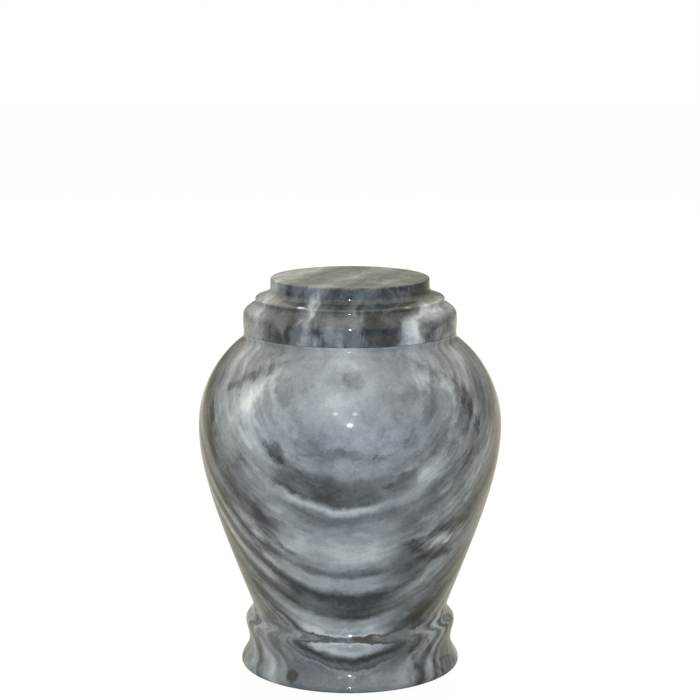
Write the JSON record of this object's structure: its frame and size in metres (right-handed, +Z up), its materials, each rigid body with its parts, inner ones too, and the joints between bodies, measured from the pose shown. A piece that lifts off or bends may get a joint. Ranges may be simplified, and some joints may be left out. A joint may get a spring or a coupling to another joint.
{
  "type": "cremation urn",
  "caption": "Round-bellied turned stone urn with a moulded foot and a stepped lid that lifts off a wide open neck.",
  "frame": {"origin": "centre of the flat underside", "axes": "+Z up along the axis of turning; the urn is round, and -Y is the side that the stone's bands face"},
  "size_m": [0.2, 0.2, 0.2601],
  "materials": {
    "body_marble": "polished grey and white banded marble",
    "lid_marble": "polished grey, white and beige banded marble"
  },
  "bodies": {
    "root": {"urn_body": "body_marble", "lid": "lid_marble"}
  },
  "joints": []
}
